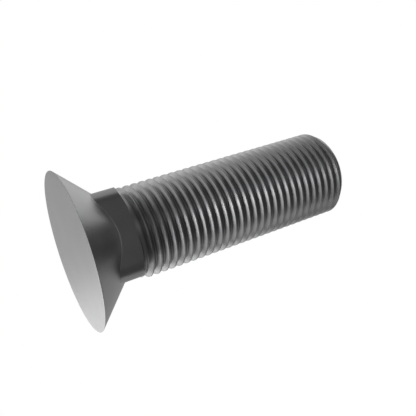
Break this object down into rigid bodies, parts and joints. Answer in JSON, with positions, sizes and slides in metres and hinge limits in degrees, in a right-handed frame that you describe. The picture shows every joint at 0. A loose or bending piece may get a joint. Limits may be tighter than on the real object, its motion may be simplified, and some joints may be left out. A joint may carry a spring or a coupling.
{
  "type": "plow bolt",
  "caption": "Flat countersunk head bolt with a square neck and a fine right-hand thread, forged in one piece; it locks in a countersunk square hole.",
  "frame": {"origin": "centre of the flat head face, which the bolt stands on", "axes": "+Z along the shank from the head to the tip; X and Y square to the flats of the neck"},
  "size_m": [0.0272, 0.0272, 0.05],
  "materials": {
    "steel": "smooth satin, plain uncoated steel"
  },
  "bodies": {
    "root": {"plow_bolt": "steel"}
  },
  "joints": []
}
